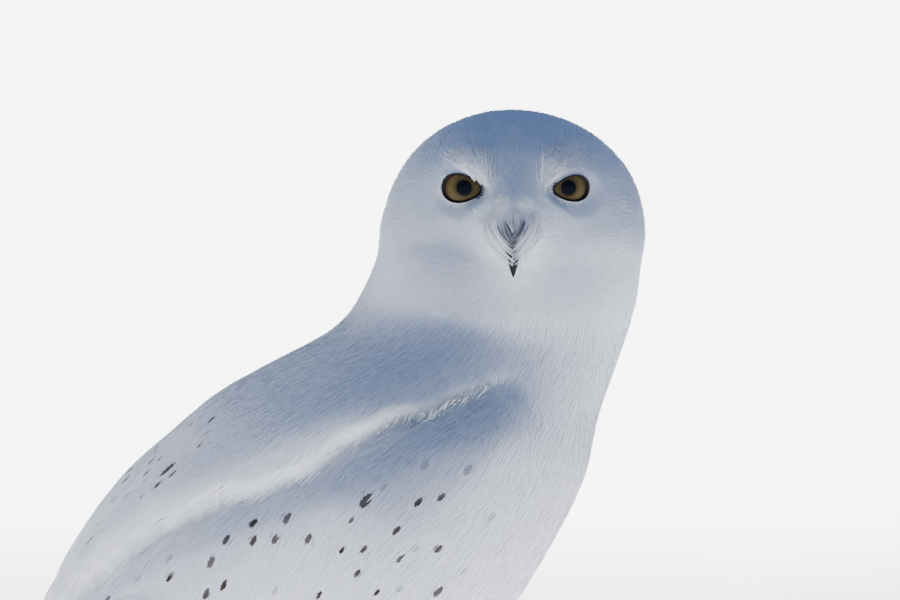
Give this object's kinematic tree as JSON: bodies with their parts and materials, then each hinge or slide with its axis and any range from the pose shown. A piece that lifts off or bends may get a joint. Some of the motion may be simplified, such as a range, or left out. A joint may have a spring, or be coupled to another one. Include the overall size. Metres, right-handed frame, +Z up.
{
  "type": "snowy owl",
  "caption": "Life-size snowy owl standing on feathered feet, wings folded and head turned over its right shoulder.",
  "frame": {"origin": "bottom centre of the part's box, on the floor the bird stands on", "axes": "+X the way the body points (head end forward, tail back), +Y to the bird's left, +Z up; the head is turned to face near -Y"},
  "size_m": [0.4174, 0.2048, 0.4401],
  "materials": {
    "plumage": "soft white feathers, matte, with sparse dark brown flecks on the back and wings",
    "horn": "black horn of the bill and claws, satin",
    "eye": "golden iris with a black pupil under a wet, clear surface"
  },
  "bodies": {
    "root": {"head": "plumage", "neck": "plumage", "trunk": "plumage", "tail": "plumage", "bill_upper": "horn", "bill_lower": "horn", "eye_left": "eye", "eye_right": "eye", "wing_left": "plumage", "wing_right": "plumage", "primaries_left": "plumage", "primaries_right": "plumage", "leg_left": "plumage", "leg_right": "plumage", "foot_left": "plumage", "foot_right": "plumage", "claw_left_1": "horn", "claw_left_2": "horn", "claw_left_3": "horn", "claw_left_4": "horn", "claw_right_1": "horn", "claw_right_2": "horn", "claw_right_3": "horn", "claw_right_4": "horn"}
  },
  "joints": []
}
